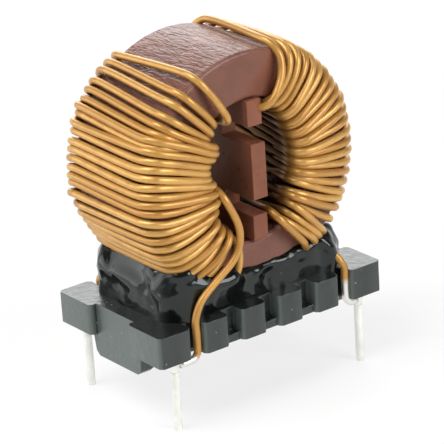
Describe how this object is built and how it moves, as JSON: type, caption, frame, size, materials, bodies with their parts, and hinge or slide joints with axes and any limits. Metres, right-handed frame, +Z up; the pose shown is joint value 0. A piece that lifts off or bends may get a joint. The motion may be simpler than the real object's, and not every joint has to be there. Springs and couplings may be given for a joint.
{
  "type": "leaded inductor",
  "caption": "Upright ring choke: enamelled wire wound on a cased ring core, parted by a divider and potted onto a slotted moulded base with through-hole pins.",
  "frame": {"origin": "centre of the pin pattern on the seating plane, the underside of the two feet", "axes": "+Z up from the board, +X along the base and across the two windings, +Y to the rear along the core's axis"},
  "size_m": [0.03, 0.0186, 0.0387],
  "materials": {
    "base_plastic": "satin black moulding",
    "case_plastic": "satin chocolate brown moulding",
    "core_ferrite": "sintered, dull grey",
    "enamelled_wire": "amber enamel over copper, glossy",
    "potting_resin": "poured resin, wet black gloss",
    "tinned_pin": "bright tin plate",
    "solder": "bright solder"
  },
  "bodies": {
    "root": {"base": "base_plastic", "core_case_cup": "case_plastic", "core_case_lid": "case_plastic", "ring_core": "core_ferrite", "divider": "case_plastic", "winding_left": "enamelled_wire", "winding_right": "enamelled_wire", "potting": "potting_resin", "pin_front_left": "tinned_pin", "pin_front_right": "tinned_pin", "pin_rear_left": "tinned_pin", "pin_rear_right": "tinned_pin", "solder_front_left": "solder", "solder_front_right": "solder", "solder_rear_left": "solder", "solder_rear_right": "solder"}
  },
  "joints": []
}
